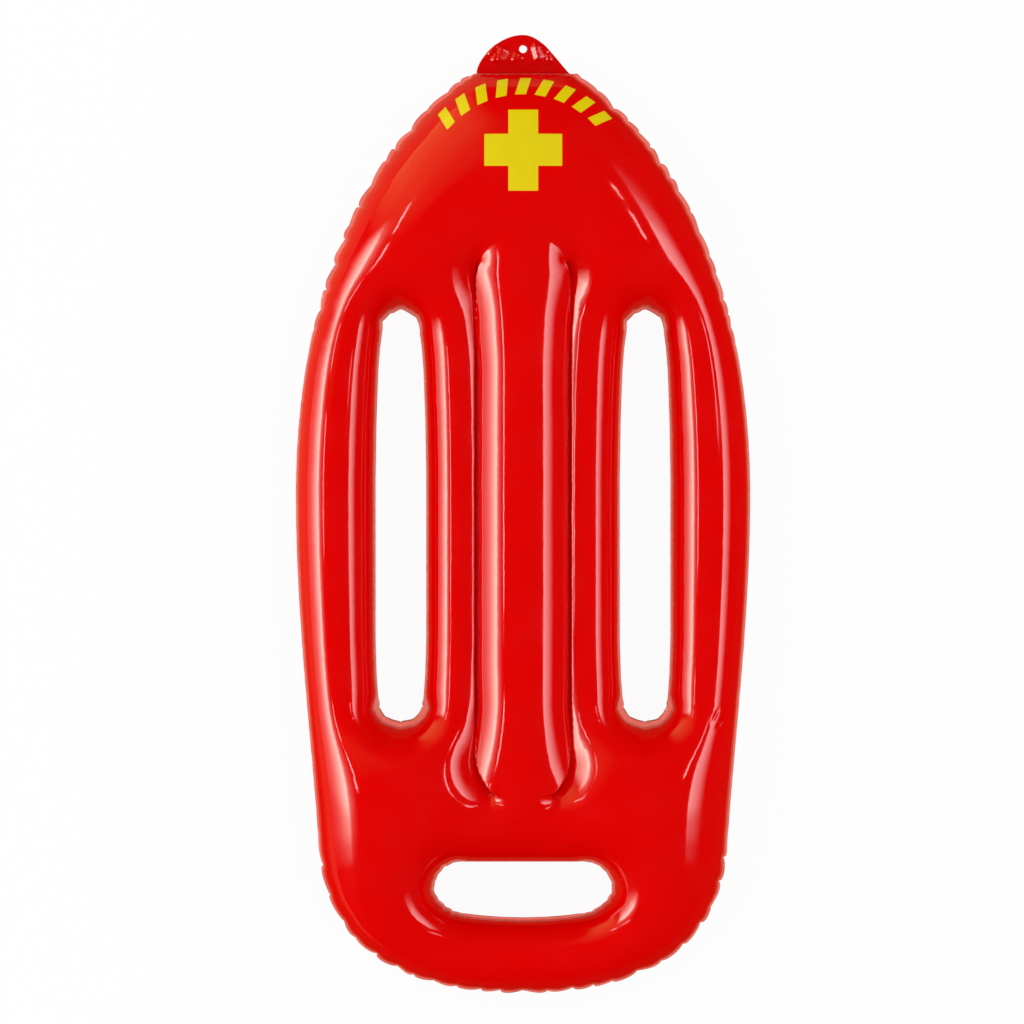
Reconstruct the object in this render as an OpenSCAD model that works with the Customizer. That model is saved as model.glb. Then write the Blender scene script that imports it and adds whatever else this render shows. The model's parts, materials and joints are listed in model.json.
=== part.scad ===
// Inflatable float board: two films welded round the outline, two side slots, a handle slot and
// two rib lines, with a hang tab at the head and a push-in air valve in the back.
// It lies on its back: X across, +Y towards the head, +Z up, Z = 0 where it rests. Millimetres.

/* [Board] */
// Overall length, hang tab included
board_l = 740; // [620:5:890]
// Width at the widest place
board_w = 351; // [295:1:422]
// How far the widest place lies above the middle of the length
widest_y = 15; // [-40:1:60]
// Thickness of one film
film_t = 0.3; // [0.2:0.05:0.5]
// Half thickness that a very wide chamber swells to
swell_h = 44; // [36:0.5:53]
// Distance from a weld over which the film swells
swell_run = 34; // [28:0.5:41]
// How much further than the valve's flange needs the back is pressed flat where it lies
rest_cut = 1.7; // [0.5:0.1:4]

/* [Outline] */
// Width of the straight head edge
head_w = 84; // [76:1:100]
// Angle at which the shoulders fall away from the head edge
shoulder_angle = 35; // [25:1:45]
// How much each side draws in from the widest place to the tail corner
tail_inset = 17.5; // [5:0.5:30]
// Length of the round tail corners along the board
tail_corner_l = 115; // [95:1:138]

/* [Welds] */
// Width of the seam round the outline
seam_w = 3; // [2.5:0.1:3.6]
// Width of the seams round the slots and the handle
slot_seam_w = 3.5; // [2.5:0.5:5]
// Depth of the puckers in the cut edge round the curved ends
pucker_d = 1.4; // [0:0.1:2]
// Length of one pucker
pucker_l = 11; // [9:0.5:15]
// Width of a rib weld
rib_w = 3; // [2:0.5:5]
// Distance between the middles of the two rib welds
rib_pitch = 73.4; // [62:0.2:88]
// Distance from the head edge to the round end of the rib lines
rib_head_gap = 128; // [107:1:150]
// Distance from the tail edge to the round end of the rib lines
rib_tail_gap = 149; // [125:1:178]
// How far round the head end each rib hooks inwards, in degrees
rib_head_hook = 30; // [20:1:60]
// How far round the tail end each rib hooks inwards, in degrees
rib_tail_hook = 60; // [30:1:64]

/* [Slots] */
// Width of a side slot's opening
slot_w = 39; // [33:1:47]
// Distance between the middles of the two side slots
slot_pitch = 188.6; // [176:0.2:202]
// Distance from the head edge to the slot openings
slot_head_gap = 182; // [152:1:218]
// Distance from the tail edge to the slot openings
slot_tail_gap = 210; // [190:1:252]
// Length of the handle's opening
handle_l = 137; // [115:1:164]
// Width of the handle's opening
handle_w = 43; // [36:1:50]
// Distance from the tail edge to the handle's opening
handle_tail_gap = 58.5; // [50:0.5:68]

/* [Hang tab] */
// Length of the hang tab
tab_l = 30; // [25:1:36]
// Width of the hang tab at the seam
tab_w = 72; // [62:1:76]
// Diameter of the hang hole
hang_hole_d = 6; // [5:0.5:8]
// Distance from the tab's tip to the middle of the hang hole
hang_hole_in = 11; // [9:0.5:13]

/* [Valve] */
// Distance from the head edge to the valve's axis
valve_head_gap = 70; // [62:1:80]
// Radius of the flange welded inside the back film
valve_flange_r = 16; // [14:0.5:19]
// Thickness of the flange
valve_flange_t = 0.8; // [0.6:0.1:1.2]
// Radius of the mouth of the well that the stem sinks into
well_r = 9.5; // [8.8:0.1:11.4]
// Depth of the well
well_depth = 16; // [13.3:0.5:19]
// Wall of the well
well_t = 0.7; // [0.5:0.1:0.9]
// Outside radius of the stem
stem_r = 4.5; // [4:0.1:5.4]
// Radius of the air way through the stem
bore_r = 3.1; // [2.6:0.1:3.6]
// Radius of the stem's mouth lip and of the plug's head
lip_r = 6; // [5.5:0.1:6.8]
// Length of the plug's shank
plug_l = 9; // [7:0.5:10.8]

/* [Hidden] */
$fn = 64;

// Clearance of a sliding fit
slide_clear = 0.1;
// Overlap that keeps cuts clean
over = 1;
// Gap where two lengths of a slot's seam butt
seam_butt = 0.05;

// Places along and across the board
tail_y = -board_l / 2;
head_y = board_l / 2 - tab_l;
half_w = board_w / 2;
tail_half = half_w - tail_inset;
valve_y = head_y - valve_head_gap;
// Radius that is pressed flat round the valve
valve_flat_r = valve_flange_r + 3;

// Length of the curve handles that shape the outline
shoulder_reach = 110;
head_reach = 140;
side_reach = 100;
tail_reach = 70;
corner_reach = 80;
corner_round = 63;

// Round ends of the slots, the handle and the rib lines, as weld lines
slot_x = slot_pitch / 2;
slot_r = slot_w / 2 + slot_seam_w;
slot_low = tail_y + slot_tail_gap + slot_w / 2;
slot_high = head_y - slot_head_gap - slot_w / 2;
handle_r = handle_w / 2 + slot_seam_w;
handle_x = (handle_l - handle_w) / 2;
handle_y = tail_y + handle_tail_gap + handle_w / 2;
rib_r = rib_pitch / 2;
rib_low = tail_y + rib_tail_gap + rib_r;
rib_high = head_y - rib_head_gap - rib_r;
rib_low_end = rib_low - rib_r * sin(rib_tail_hook);
rib_high_end = rib_high + rib_r * sin(rib_head_hook);
// Angle round a slot's end at which its two sides are joined by a short chord
slot_tip = 76;
slot_low_end = slot_low - slot_r * sin(slot_tip);
slot_high_end = slot_high + slot_r * sin(slot_tip);

// Outline

function bezier(p, n) = [for (i = [0 : n - 1]) let (t = i / n, s = 1 - t)
    s * s * s * p[0] + 3 * s * s * t * p[1] + 3 * s * t * t * p[2] + t * t * t * p[3]];

// Cut edge of the right half, from the middle of the tail to the corner of the head edge
function cut_edge(n) = let (
    widest = [half_w, widest_y],
    corner = [tail_half, tail_y + tail_corner_l],
    shoulder = [head_w / 2, head_y],
    fall = shoulder_reach * [cos(shoulder_angle), -sin(shoulder_angle)]
) concat(
    bezier([[0, tail_y], [tail_half - corner_round, tail_y],
        corner - [4, corner_reach], corner], n),
    bezier([corner, corner + [4, tail_reach], widest - [0, side_reach], widest], n),
    bezier([widest, widest + [0, head_reach], shoulder + fall, shoulder], n),
    [shoulder]
);

// Points of a line moved to its left by w
function moved(p, w) = [for (i = [0 : len(p) - 1]) let (
    d = p[min(i + 1, len(p) - 1)] - p[max(i - 1, 0)]
) p[i] + w * [-d.y, d.x] / norm(d)];

weld_line = moved(cut_edge(16), seam_w);
weld_table = [for (p = weld_line) [p.y, p.x]];
function edge_x(y) = lookup(y, weld_table);

// Half width of the flat that closes the outline's weld line at the tail
tail_flat = 26;
tail_end = lookup(tail_flat, [for (p = weld_line) if (p.y < tail_y + tail_corner_l) [p.x, p.y]]);
head_end = head_y - seam_w;

// Lines that the film's mesh follows, as half widths at a height y

function arc_x(r, from, y) = sqrt(max(0, r * r - (y - from) * (y - from)));
function stadium_x(r, low, high, y) = y < low ? arc_x(r, low, y) : y > high ? arc_x(r, high, y) : r;
function blend(a, b, t) = a + (b - a) * max(0, min(1, t));
function scaled(x, from, y) = x * edge_x(y) / edge_x(from);

function handle_line(y) = handle_x + arc_x(handle_r, handle_y, y);
function rib_weld_line(side, y) = stadium_x(rib_r + side * rib_w / 2, rib_low, rib_high, y);

// Share of the handle's half width at which the inner line of a rib meets the handle
handle_inner = 0.8;
function rib_line(side, y) = let (share = side < 0 ? handle_inner : 1)
    y < handle_y - handle_r ? share * scaled(handle_x, handle_y - handle_r, y)
    : y < handle_y + handle_r ? share * handle_line(y)
    : y < rib_low_end ? blend(share * handle_x, rib_weld_line(side, rib_low_end),
        (y - handle_y - handle_r) / (rib_low_end - handle_y - handle_r))
    : y < rib_high_end ? rib_weld_line(side, y)
    : scaled(rib_weld_line(side, rib_high_end), rib_high_end, y);

function slot_weld_line(side, y) = slot_x + side * stadium_x(slot_r, slot_low, slot_high, y);
function slot_line(side, y) =
    y < slot_low_end ? scaled(slot_weld_line(side, slot_low_end), slot_low_end, y)
    : y > slot_high_end ? scaled(slot_weld_line(side, slot_high_end), slot_high_end, y)
    : slot_weld_line(side, y);

// Mesh of the film: rows along the board, columns across it

// Steps that crowd towards both ends, or towards the far end alone
function both_ends(n) = [for (i = [0 : n - 1]) (1 - cos(180 * i / n)) / 2];
function far_end(n) = [for (i = [0 : n - 1]) sin(90 * i / n)];

function sorted(v) = len(v) < 2 ? v : let (
    pivot = v[floor(len(v) / 2)],
    less = [for (x = v) if (x < pivot) x],
    more = [for (x = v) if (x > pivot) x]
) concat(sorted(less), [pivot], sorted(more));

weld_rows = concat(
    [tail_end, head_end],
    [valve_y - valve_flat_r, valve_y, valve_y + valve_flat_r],
    [for (a = [-90 : 30 : 90]) handle_y + handle_r * sin(a)],
    [for (a = [0, 30, 56, slot_tip]) each [slot_low - slot_r * sin(a), slot_high + slot_r * sin(a)]],
    [for (s = [0, 0.6, 1]) each
        [rib_low - rib_r * sin(s * rib_tail_hook), rib_high + rib_r * sin(s * rib_head_hook)]]
);
// Rows beside the welds that run across, where the film is steep
steep_steps = [2.5, 9, 19];
beside_rows = [for (s = steep_steps) each
    [tail_end + s, handle_y - handle_r - s, handle_y + handle_r + s, head_end - s,
        rib_low_end - s, rib_high_end + s, slot_low_end - s, slot_high_end + s]];
// Least and longest steps between two rows, the longest also beside the slots
least_step = 2.4;
end_step = 30;
slot_step = 72;
main_rows = sorted(concat(weld_rows, [for (y = beside_rows)
    if (min([for (w = weld_rows) abs(w - y)]) > least_step) y]));
rows = concat([for (j = [0 : len(main_rows) - 2]) let (
    gap = main_rows[j + 1] - main_rows[j],
    n = ceil(gap / (main_rows[j] >= slot_low && main_rows[j] < slot_high ? slot_step : end_step))
) each [for (i = [0 : n - 1]) main_rows[j] + gap * i / n]], [main_rows[len(main_rows) - 1]]);

// Columns from the middle to the rib, across the rib, to the slot, across the slot, to the seam
column_counts = [3, 1, 5, 1, 5];
function half_row(y) = let (
    lines = [0, rib_line(-1, y), rib_line(1, y), slot_line(-1, y), slot_line(1, y), edge_x(y)]
) concat([for (k = [0 : 4]) each
    [for (t = k == 0 ? far_end(column_counts[k]) : both_ends(column_counts[k]))
        lines[k] + (lines[k + 1] - lines[k]) * t]], [lines[5]]);
half_rows = [for (y = rows) half_row(y)];

row_n = len(rows);
half_n = len(half_rows[0]) - 1;
column_n = 2 * half_n + 1;
rib_column = column_counts[0];
slot_column = rib_column + 1 + column_counts[2];

// Whether the film covers the cell from row j and half column i on
function inside(low, high, j) = rows[j] >= low - 0.01 && rows[j + 1] <= high + 0.01;
function covered(j, i) = j >= 0 && j < row_n - 1 && i < half_n
    && !(i <= rib_column && inside(handle_y - handle_r, handle_y + handle_r, j))
    && !(i == rib_column && inside(rib_low_end, rib_high_end, j))
    && !(i == slot_column && inside(slot_low_end, slot_high_end, j));
function on_weld(j, i) = let (left = i == 0 ? 0 : i - 1)
    !(covered(j, i) && covered(j - 1, i) && covered(j, left) && covered(j - 1, left));

// Swelling of the film between its welds

function to_segment(p, a, b) = let (
    t = max(0, min(1, (p - a) * (b - a) / ((b - a) * (b - a))))
) norm(p - a - t * (b - a));
function to_line(p, line) = min([for (i = [0 : len(line) - 2]) to_segment(p, line[i], line[i + 1])]);
function tanh(x) = 1 - 2 / (exp(2 * x) + 1);
function swell(d) = tanh(max(0, d) / swell_run);

outline = concat([[0, weld_line[0].y]], weld_line, [[0, head_end]]);
rib_path = concat(
    [for (a = [rib_tail_hook : -10 : 0.1]) [rib_r * cos(a), rib_low - rib_r * sin(a)]],
    [[rib_r, rib_low], [rib_r, rib_high]],
    [for (a = [8 : 10 : rib_head_hook]) [rib_r * cos(a), rib_high + rib_r * sin(a)]]
);
function to_slot(p) = to_segment(p, [slot_x, slot_low], [slot_x, slot_high]) - slot_r;
function to_handle(p) = to_segment(p, [-handle_x, handle_y], [handle_x, handle_y]) - handle_r;
function to_rib(p) = to_line(p, rib_path) - rib_w / 2;
function film_height(p) = let (q = [-p.x, p.y])
    swell_h * sqrt(swell(to_line(p, outline)) * swell(to_handle(p))
        * swell(to_slot(p)) * swell(to_slot(q)) * swell(to_rib(p)) * swell(to_rib(q)));

// The back lies on a flat that holds the valve, and the weld plane is that much above the ground
rest_depth = film_t - rest_cut
    + min([for (a = [0 : 15 : 359]) film_height([0, valve_y] + valve_flat_r * [cos(a), sin(a)])]);
weld_z = rest_depth;

half_heights = [for (j = [0 : row_n - 1]) [for (i = [0 : half_n])
    on_weld(j, i) ? film_t : film_t + film_height([half_rows[j][i], rows[j]])]];

// Film point in row j and full column k, with its height held below top
function film_point(j, k, top) = let (i = abs(k - half_n), side = k < half_n ? -1 : 1)
    [side * half_rows[j][i], rows[j], min(top, half_heights[j][i])];
// The same point on the inner face, one film thickness in along the normal
function inner_point(j, k, top) = let (p = film_point(j, k, top))
    on_weld(j, abs(k - half_n)) ? [p.x, p.y, 0]
    : let (n = cross(film_point(j, k + 1, top) - film_point(j, k - 1, top),
        film_point(j + 1, k, top) - film_point(j - 1, k, top)))
        p - film_t * n / norm(n);

function cell_column(k) = k < half_n ? half_n - 1 - k : k - half_n;
function has_cell(j, k) = k >= 0 && k < column_n - 1 && covered(j, cell_column(k));
function quad(a, b, c, d) = [[a, b, c], [a, c, d]];
function split_quad(a, b, c, d, k) = k < half_n ? quad(a, b, c, d) : quad(b, c, d, a);

// A welded film as a thin shell, domed upwards from the weld plane
module film_shell(top) {
    n = row_n * column_n;
    outer = [for (j = [0 : row_n - 1]) for (k = [0 : column_n - 1]) film_point(j, k, top)];
    inner = [for (j = [0 : row_n - 1]) for (k = [0 : column_n - 1]) inner_point(j, k, top)];
    faces = [for (j = [0 : row_n - 2]) for (k = [0 : column_n - 2]) if (has_cell(j, k)) let (
        a = j * column_n + k,
        b = a + 1,
        c = b + column_n,
        d = a + column_n
    ) each concat(
        split_quad(d, c, b, a, k),
        split_quad(n + b, n + c, n + d, n + a, k),
        has_cell(j - 1, k) ? [] : quad(a, b, n + b, n + a),
        has_cell(j + 1, k) ? [] : quad(c, d, n + d, n + c),
        has_cell(j, k - 1) ? [] : quad(d, a, n + a, n + d),
        has_cell(j, k + 1) ? [] : quad(b, c, n + c, n + b)
    )];
    polyhedron(concat(outer, inner), faces);
}

module front_film() {
    color("red")
        translate([0, 0, weld_z])
            film_shell(2 * swell_h);
}

module back_film() {
    color("red")
        difference() {
            translate([0, 0, weld_z])
                mirror([0, 0, 1])
                    film_shell(rest_depth);
            translate([0, valve_y, -over])
                cylinder(r = well_r, h = film_t + 2 * over);
        }
}

// Welds: fused strips, as thick as both films, that meet the films' edges

module weld_strip() {
    translate([0, 0, weld_z - film_t])
        linear_extrude(2 * film_t)
            children();
}

function mirrored(p) = [for (i = [len(p) - 1 : -1 : 0]) [-p[i].x, p[i].y]];
function rows_between(low, high) = [for (y = rows) if (y > low - 0.01 && y < high + 0.01) y];

// Depth of the puckers along the cut edge: none on the straight sides or beside the tab
function pucker(s, p, from_head) = let (
    head = blend(0, 1, (p.y - slot_high) / 40) * blend(0, 1, from_head / pucker_l),
    tail = blend(0, 1, (tail_y + tail_corner_l - p.y) / 40)
) pucker_d * (head + tail) * (1 - cos(360 * s / pucker_l)) / 2;

function arc_lengths(p, i = 0, s = 0) = i == len(p) - 1 ? [s]
    : concat([s], arc_lengths(p, i + 1, s + norm(p[i + 1] - p[i])));
function puckered(p) = let (s = arc_lengths(p), whole = s[len(s) - 1])
    [for (i = [0 : len(p) - 1]) let (
        d = p[min(i + 1, len(p) - 1)] - p[max(i - 1, 0)]
    ) p[i] + pucker(s[i], p[i], whole - s[i]) * [-d.y, d.x] / norm(d)];

module outer_seam() {
    edge = puckered(cut_edge(100));
    weld = [for (y = rows) [edge_x(y), y]];
    color("salmon")
        weld_strip()
            difference() {
                polygon(concat(edge, mirrored(edge)));
                polygon(concat(weld, mirrored(weld)));
            }
}

module stadium(r, a, b) {
    for (p = [a, b])
        translate(p)
            circle(r);
    d = b - a;
    translate(a)
        rotate(atan2(d.y, d.x))
            translate([0, -r])
                square([norm(d), 2 * r]);
}

// A slot's seam has four lengths that butt: two straight sides and two round ends
module slot_seam() {
    ys = rows_between(slot_low_end, slot_high_end);
    color("salmon")
        weld_strip()
            difference() {
                polygon(concat([for (y = ys) [slot_line(1, y), y]],
                    [for (i = [len(ys) - 1 : -1 : 0]) [slot_line(-1, ys[i]), ys[i]]]));
                stadium(slot_w / 2, [slot_x, slot_low], [slot_x, slot_high]);
                for (y = [slot_low, slot_high])
                    translate([slot_x, y])
                        square([2 * slot_r + over, seam_butt], center = true);
            }
}

module left_slot_seam() {
    mirror([1, 0, 0])
        slot_seam();
}

module right_slot_seam() {
    slot_seam();
}

module handle_seam() {
    weld = [for (y = rows_between(handle_y - handle_r, handle_y + handle_r)) [handle_line(y), y]];
    color("salmon")
        weld_strip()
            difference() {
                polygon(concat(weld, mirrored(weld)));
                stadium(handle_w / 2, [-handle_x, handle_y], [handle_x, handle_y]);
                for (x = [-handle_x, handle_x])
                    translate([x, handle_y])
                        square([seam_butt, 2 * handle_r + over], center = true);
            }
}

module rib_weld() {
    ys = rows_between(rib_low_end, rib_high_end);
    color("firebrick")
        weld_strip()
            polygon(concat([for (y = ys) [rib_line(1, y), y]],
                [for (i = [len(ys) - 1 : -1 : 0]) [rib_line(-1, ys[i]), ys[i]]]));
}

module left_rib_weld() {
    mirror([1, 0, 0])
        rib_weld();
}

module right_rib_weld() {
    rib_weld();
}

// Hang tab: both films run on past the head seam, with a punched hole
module hang_tab() {
    tip = [0, head_y + tab_l];
    root = [tab_w / 2, head_y];
    side = concat(bezier([root, root + [-3, tab_l / 3], tip + [14, 0], tip], 16), [tip]);
    color("salmon")
        weld_strip()
            difference() {
                polygon(concat(side, mirrored(side)));
                translate(tip - [0, hang_hole_in])
                    circle(d = hang_hole_d);
            }
}

// Air valve in the back: heights are measured from the face that lies on the ground

flange_top = film_t + valve_flange_t;
well_top = flange_top + well_depth;
lip_t = 1.2;
plug_head_t = 1.8;
plug_z = 0.8;
lip_z = plug_z + plug_head_t + slide_clear;
stem_top = well_top + 3;
collar_t = 1;
flap_t = 0.5;
hinge_r = 0.4;
hinge_w = 3;

module at_valve() {
    translate([0, valve_y, 0])
        children();
}

// Ring plate welded to the inner face of the back film
module valve_flange() {
    color("mistyrose")
        at_valve()
            rotate_extrude()
                translate([well_r, film_t])
                    square([valve_flange_r - well_r, valve_flange_t]);
}

// Soft cone between the flange and the stem: it turns inside out when the stem is pulled out
module valve_well() {
    collar_r = stem_r + slide_clear;
    color("mistyrose")
        at_valve()
            rotate_extrude()
                polygon([
                    [well_r, film_t], [well_r, flange_top], [collar_r + well_t, well_top],
                    [collar_r + well_t, well_top + collar_t], [collar_r, well_top + collar_t],
                    [collar_r, well_top], [well_r - well_t, film_t]
                ]);
}

// Tube with a mouth lip, which the well's collar grips
module valve_stem() {
    chamfer = 0.4;
    color("mistyrose")
        at_valve()
            rotate_extrude()
                polygon([
                    [bore_r + chamfer, lip_z], [lip_r, lip_z], [lip_r, lip_z + lip_t],
                    [stem_r, lip_z + lip_t + chamfer], [stem_r, stem_top],
                    [bore_r, stem_top], [bore_r, lip_z + chamfer]
                ]);
}

// Check flap over the inner end of the stem, with its hinge roll on the head side
module check_flap() {
    flap_z = stem_top + slide_clear;
    flap_r = stem_r - 0.4;
    color("mistyrose")
        at_valve()
            translate([0, 0, flap_z]) {
                cylinder(r = flap_r, h = flap_t);
                translate([-hinge_w / 2, 0, 0])
                    cube([hinge_w, stem_r - hinge_r, flap_t]);
                translate([-hinge_w / 2, stem_r - hinge_r, hinge_r])
                    rotate([0, 90, 0])
                        cylinder(r = hinge_r, h = hinge_w);
            }
}

// Plug with a flat head, a long shank and a rounded lead-in
module valve_plug() {
    shank_r = bore_r - slide_clear;
    lead = 1.2;
    color("mistyrose")
        at_valve()
            rotate_extrude()
                polygon([
                    [0, plug_z], [lip_r - 0.4, plug_z], [lip_r, plug_z + 0.4],
                    [lip_r, plug_z + plug_head_t], [shank_r, plug_z + plug_head_t],
                    [shank_r, plug_z + plug_head_t + plug_l - lead],
                    [shank_r - 0.7, plug_z + plug_head_t + plug_l], [0, plug_z + plug_head_t + plug_l]
                ]);
}

// Strap bent in a U from the stem's lip to the plug's head
module plug_strap() {
    strap_w = 3;
    strap_t = 0.6;
    plug_mid = plug_z + plug_head_t / 2;
    lip_mid = lip_z + lip_t / 2;
    bend_r = (lip_mid - plug_mid) / 2;
    color("mistyrose")
        at_valve()
            translate([-lip_r - slide_clear, strap_w / 2, (lip_mid + plug_mid) / 2])
                rotate([90, 0, 0])
                    rotate([0, 0, 90])
                        linear_extrude(strap_w)
                            difference() {
                                circle(bend_r + strap_t / 2);
                                circle(bend_r - strap_t / 2);
                                translate([-2 * lip_r, -4 * lip_r])
                                    square(4 * lip_r);
                            }
}

front_film();
back_film();
outer_seam();
left_slot_seam();
right_slot_seam();
handle_seam();
left_rib_weld();
right_rib_weld();
hang_tab();
valve_flange();
valve_well();
valve_stem();
check_flap();
valve_plug();
plug_strap();
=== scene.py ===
import json
import math
import random

import bmesh
import bpy
import numpy as np
from mathutils import Euler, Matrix, Vector, kdtree, noise
from mathutils.geometry import delaunay_2d_cdt


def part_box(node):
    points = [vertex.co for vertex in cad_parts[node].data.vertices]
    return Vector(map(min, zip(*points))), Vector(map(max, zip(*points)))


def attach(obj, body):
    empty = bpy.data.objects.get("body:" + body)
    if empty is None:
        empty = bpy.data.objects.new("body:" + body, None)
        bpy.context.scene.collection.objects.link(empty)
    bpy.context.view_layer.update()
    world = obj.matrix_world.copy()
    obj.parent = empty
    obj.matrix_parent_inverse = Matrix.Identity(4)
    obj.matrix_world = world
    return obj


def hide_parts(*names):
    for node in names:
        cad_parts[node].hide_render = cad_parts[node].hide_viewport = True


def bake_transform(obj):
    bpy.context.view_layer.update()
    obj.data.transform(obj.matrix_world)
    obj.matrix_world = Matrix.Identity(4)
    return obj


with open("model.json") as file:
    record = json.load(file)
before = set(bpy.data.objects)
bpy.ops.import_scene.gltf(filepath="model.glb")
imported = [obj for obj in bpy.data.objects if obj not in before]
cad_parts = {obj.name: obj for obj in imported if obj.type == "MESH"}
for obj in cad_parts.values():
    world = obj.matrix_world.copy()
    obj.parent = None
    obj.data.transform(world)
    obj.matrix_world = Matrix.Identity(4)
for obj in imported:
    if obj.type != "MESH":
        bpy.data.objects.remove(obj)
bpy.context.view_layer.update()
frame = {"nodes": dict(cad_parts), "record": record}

mm = 0.001  # the plan is worked out in millimetres and becomes metres in the meshes
arcPoints = 60  # on a round end or a free curve
pvcIor = 1.53
scene = bpy.context.scene


# Settings: one dictionary for each piece

outline = dict(
    widestY=15,  # height of the widest place above the middle
    headWidth=84,  # straight edge under the hang tab
    shoulderAngle=35,
    tailInset=17.5,
    tailCorner=115, cornerLean=4,
    shoulderReach=110, headReach=140, sideReach=100, tailReach=70, cornerReach=80, cornerRound=63,
    curvePoints=200,
    step=1.0,  # between the points of a cut edge
)
gather = dict(
    tailY=-200,  # below this a seam has its tail pitch
    firstDepth=0.7, depths=(0.35, 1),
    leans=(0.5, 0.7, 1.5, 2.0),  # below 1 a notch leans one way, above 1 the other
    fullness=0.5,
)
outerSeam = dict(
    headShown=2.9, sideShown=1.5, tailShown=1.5,  # how much of the weld the swollen film leaves in view
    pitch=(11, 22), tailPitch=(14, 26), cutPinch=3.2, weldPinch=2.6, wave=0.8, seed=11,
    headFrom=110, headFade=70, tailFrom=-238, tailFade=30,  # where it is gathered
    sideGather=0.06,  # and how much along the rest
    tabRoot=0.5, tabGap=1, tabFade=5, tabShown=0.4,  # under the hang tab it is straight and narrow
)
slotSeam = dict(
    width=3.5, tipAngle=76, sideShown=1.5, headShown=2.2, tailShown=4.6,
    headShape=((0, 0), (3, 6.5), (6, 11), (9, 13.2), (30, 16.1), (47, 17.4), (86, 18.8), (130, 19.5)),
    tailShape=((0, 0), (1.5, 7.4), (5.4, 13.6), (10.8, 15.8), (18.5, 17.4), (35.5, 18.7), (63, 19.5)),
    sidePoints=400, endFrom=2, endFade=10, sideGather=0.05,
    pitch=(8, 12), tailPitch=(8, 12), cutPinch=1.3, weldPinch=1.2, wave=0.9, seed=5,
)
handleSeam = dict(
    width=3.5, topShown=0.5, footShown=2.2, endShown=1.8,
    footRise=5, riseReach=10,  # how far the lower edge climbs towards its ends
    footFade=12, endFrom=6, endFade=10, sideGather=0.05,
    pitch=(6, 9), tailPitch=(6, 9), cutPinch=1.1, weldPinch=1.2, wave=0.8, seed=8,
)
seamRim = dict(
    across=(-0.25, 0, 0.35, 0.7, 1),  # from just under the film to the cut edge
    curl=1.5, thinner=0.25,
)
ribWeld = dict(
    width=3, tailHook=60, headHook=30, hookPoints=20,
    barPitch=3.2, barLength=2.2, barWidth=0.7, barProud=0.3,
)
crease = dict(
    heights=((-215, 25), (-190, 23), (0, 23), (150, 23), (200, 24)),  # y, and how high the films close there
    # y, and how much deeper the wide column tucks in than the narrow tubes beside it
    columnDrop=((-215, -11), (-190, -4), (-150, 4.5), (110, 4.5), (150, 0), (200, -10)),
    lip=1.2, grooveDeep=0.9, slit=0.15,  # the groove's half width and depth, and the slit down to the weld
    runOut=14, endLip=0.2,  # the length in which the groove runs out, and the share of its width left there
    wobble=0.5, wobblePitch=23,
    bead=0.3, beadPitch=6.2, beadPoints=4,  # marks of the welding tool, seen as short dashes in the groove
    tailFirm=52, headFirm=25,  # degrees round the column's ends up to which the crease stays low
    arcGap=4,  # degrees from there to the line of points in the soft valley
    tailTop=41, headTop=41,  # height of the soft valley where it crosses the middle
    hold=0.03, soft=0.004,  # how hard the tubes are drawn to that
    width=7, endWidth=0.5, reach=40,  # and how widely
)
film = dict(
    thickness=0.3,
    reach=38,  # how far from a weld the air still lifts the film
    puff=1.06,
    layers=(0.45, 1.5, 3.2, 5.6),  # rings of points beside each weld, where the film is steep
    layerStep=(1.6, 2.2, 3.0, 4.0),
    grid=4.4, weldStep=1.3,
    restRound=1.0,  # how softly the back turns into the flat it lies on
    solveSteps=1500, solveEnd=1e-14,
)
meshing = dict(
    layerClear=0.8, gridClear=0.6, markClear=0.9,  # how far points keep from lines, in shares of the spacing
    rowHeight=0.866,  # of a grid of even triangles
    same=1e-5,
    roundMark=40,  # a loop of so many points is fine enough as it is
)
dents = dict(
    reach=2, alongStep=0.25, asideStep=0.5,  # points added for a dent, in its own half lengths and half widths
    # small kinks in the front film: middle x and y, direction in degrees, half length, half width, depth
    places=((147, -154, 62, 4.5, 1.3, 0.7), (151, -160, 48, 4.0, 1.3, 0.6),
            (-7.7, -236, 90, 3.5, 1.2, 0.6), (-0.8, -236, 90, 3.5, 1.2, 0.6)),
)
tab = dict(
    step=0.9,
    rightWaist=(-0.4, 0.43),  # where the hollow right flank heads, in lengths of the tab
    rightCrown=14, leftCrown=20,  # how broad the top is on each side
    weldLine=7.5, lineEnds=(-21, 26), lineWidth=0.5, lineHeight=0.2, dotPitch=2.1, dotSize=(0.8, 1.1, 0.6),
    # crinkles: middle x, height over the tab's foot, direction in degrees, length, height
    creases=((-23.5, 18.5, 57, 12, 1.2), (-17.7, 14.5, 71, 16, 2.2), (-21.5, 12.5, 70, 9, 1.6),
             (-6, 13, 66, 9, 1.5), (-2, 11.6, 90, 6, 0.9),
             (11, 16.5, 105, 16, 2.4), (16, 18.5, 128, 10, 1.3), (19.5, 12.5, 112, 8, 1.2)),
    leftSlope=0.56, rightSlope=0.35, endSlope=2.5,  # steepness of a crinkle's two faces and of its ends
    flatGap=0.5, flatFade=3,  # the tab is flat up to the weld line
)
printMarks = dict(
    crossY=276, crossHigh=62.4, crossWide=59, crossBarHigh=24.6, crossBarWide=22.6,
    archY=245.3, archRadius=81.5, barHigh=14.3, barWide=8.4, barLean=16, bars=9, archFrom=44, archTo=136,
    edgeStep=2.5,
)
valveWell = dict(
    rings=9, sides=48, belly=0.5,
    endBand=0.1,  # corners so near to an end of the CAD solid belong to that end
    neckHeld=1,  # how much of the neck goes with the stem
)
plugStrap = dict(held=0.3, same=1e-6)
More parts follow.
